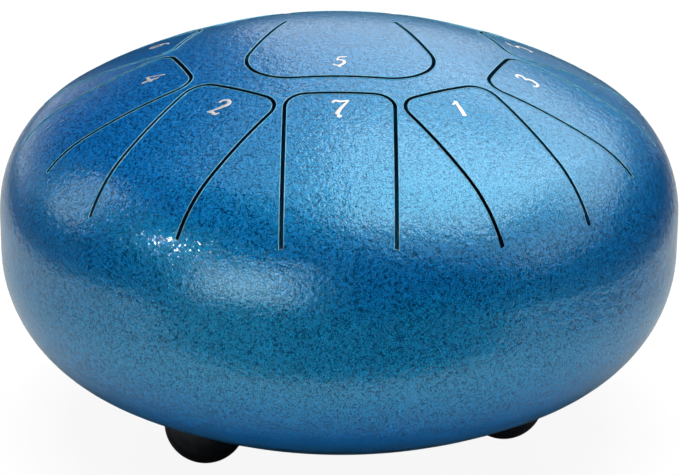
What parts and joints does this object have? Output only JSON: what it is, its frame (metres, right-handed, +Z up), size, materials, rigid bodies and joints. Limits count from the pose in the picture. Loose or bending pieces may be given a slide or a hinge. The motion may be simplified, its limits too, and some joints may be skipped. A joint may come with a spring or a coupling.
{
  "type": "steel tongue drum",
  "caption": "Hollow lens-shaped steel drum of two welded dishes, with laser-cut tongues in the top, a sound hole underneath and domed rubber feet.",
  "frame": {"origin": "middle of the drum on the surface that its three feet stand on", "axes": "+Z up along the drum's axis; -Y towards the player, where the front tongue points; +X to the player's right"},
  "size_m": [0.2, 0.2, 0.1205],
  "materials": {
    "hammered_paint": "gloss hammered enamel, metallic blue",
    "foot_rubber": "satin moulded",
    "zinc_steel": "bright zinc plated"
  },
  "bodies": {
    "root": {"top_shell": "hammered_paint", "bottom_shell": "hammered_paint", "seam_weld": "hammered_paint", "foot_left": "foot_rubber", "foot_right": "foot_rubber", "foot_rear": "foot_rubber", "stud_left": "zinc_steel", "stud_right": "zinc_steel", "stud_rear": "zinc_steel", "foot_washers": "zinc_steel", "foot_nuts": "zinc_steel"}
  },
  "joints": []
}
